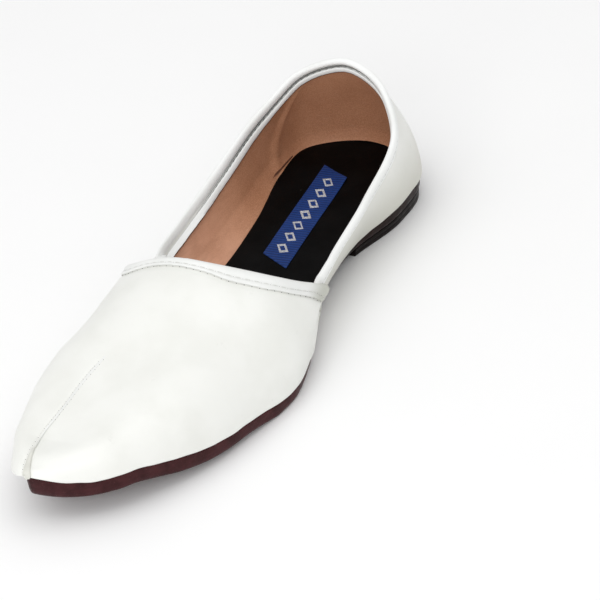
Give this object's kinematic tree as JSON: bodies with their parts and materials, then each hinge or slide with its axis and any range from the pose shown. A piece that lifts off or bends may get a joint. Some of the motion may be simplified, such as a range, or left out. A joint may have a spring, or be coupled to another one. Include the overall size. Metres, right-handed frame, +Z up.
{
  "type": "mojari",
  "caption": "Low slip-on leather shoe for the left foot: white upper with a toe dart and a folded throat band, rolled collar, thin dark sole and a low heel.",
  "frame": {"origin": "on the floor, under the middle of the shoe's bounding box", "axes": "-Y towards the toe, +X towards the wearer's left, which is the outer side of this left shoe, +Z up"},
  "size_m": [0.0966, 0.2852, 0.0686],
  "materials": {
    "white_leather": "smooth, soft sheen",
    "white_edging": "smooth folded leather, soft sheen",
    "tan_lining": "matt lining leather",
    "black_sock": "smooth, slightly shiny",
    "blue_label": "woven satin",
    "white_thread": "fine sewing thread",
    "brown_sole": "satin",
    "dark_heel": "satin"
  },
  "bodies": {
    "root": {"upper": "white_leather", "throat_band": "white_edging", "collar_binding": "white_edging", "insole": "black_sock", "outsole": "brown_sole", "heel": "dark_heel"}
  },
  "joints": []
}
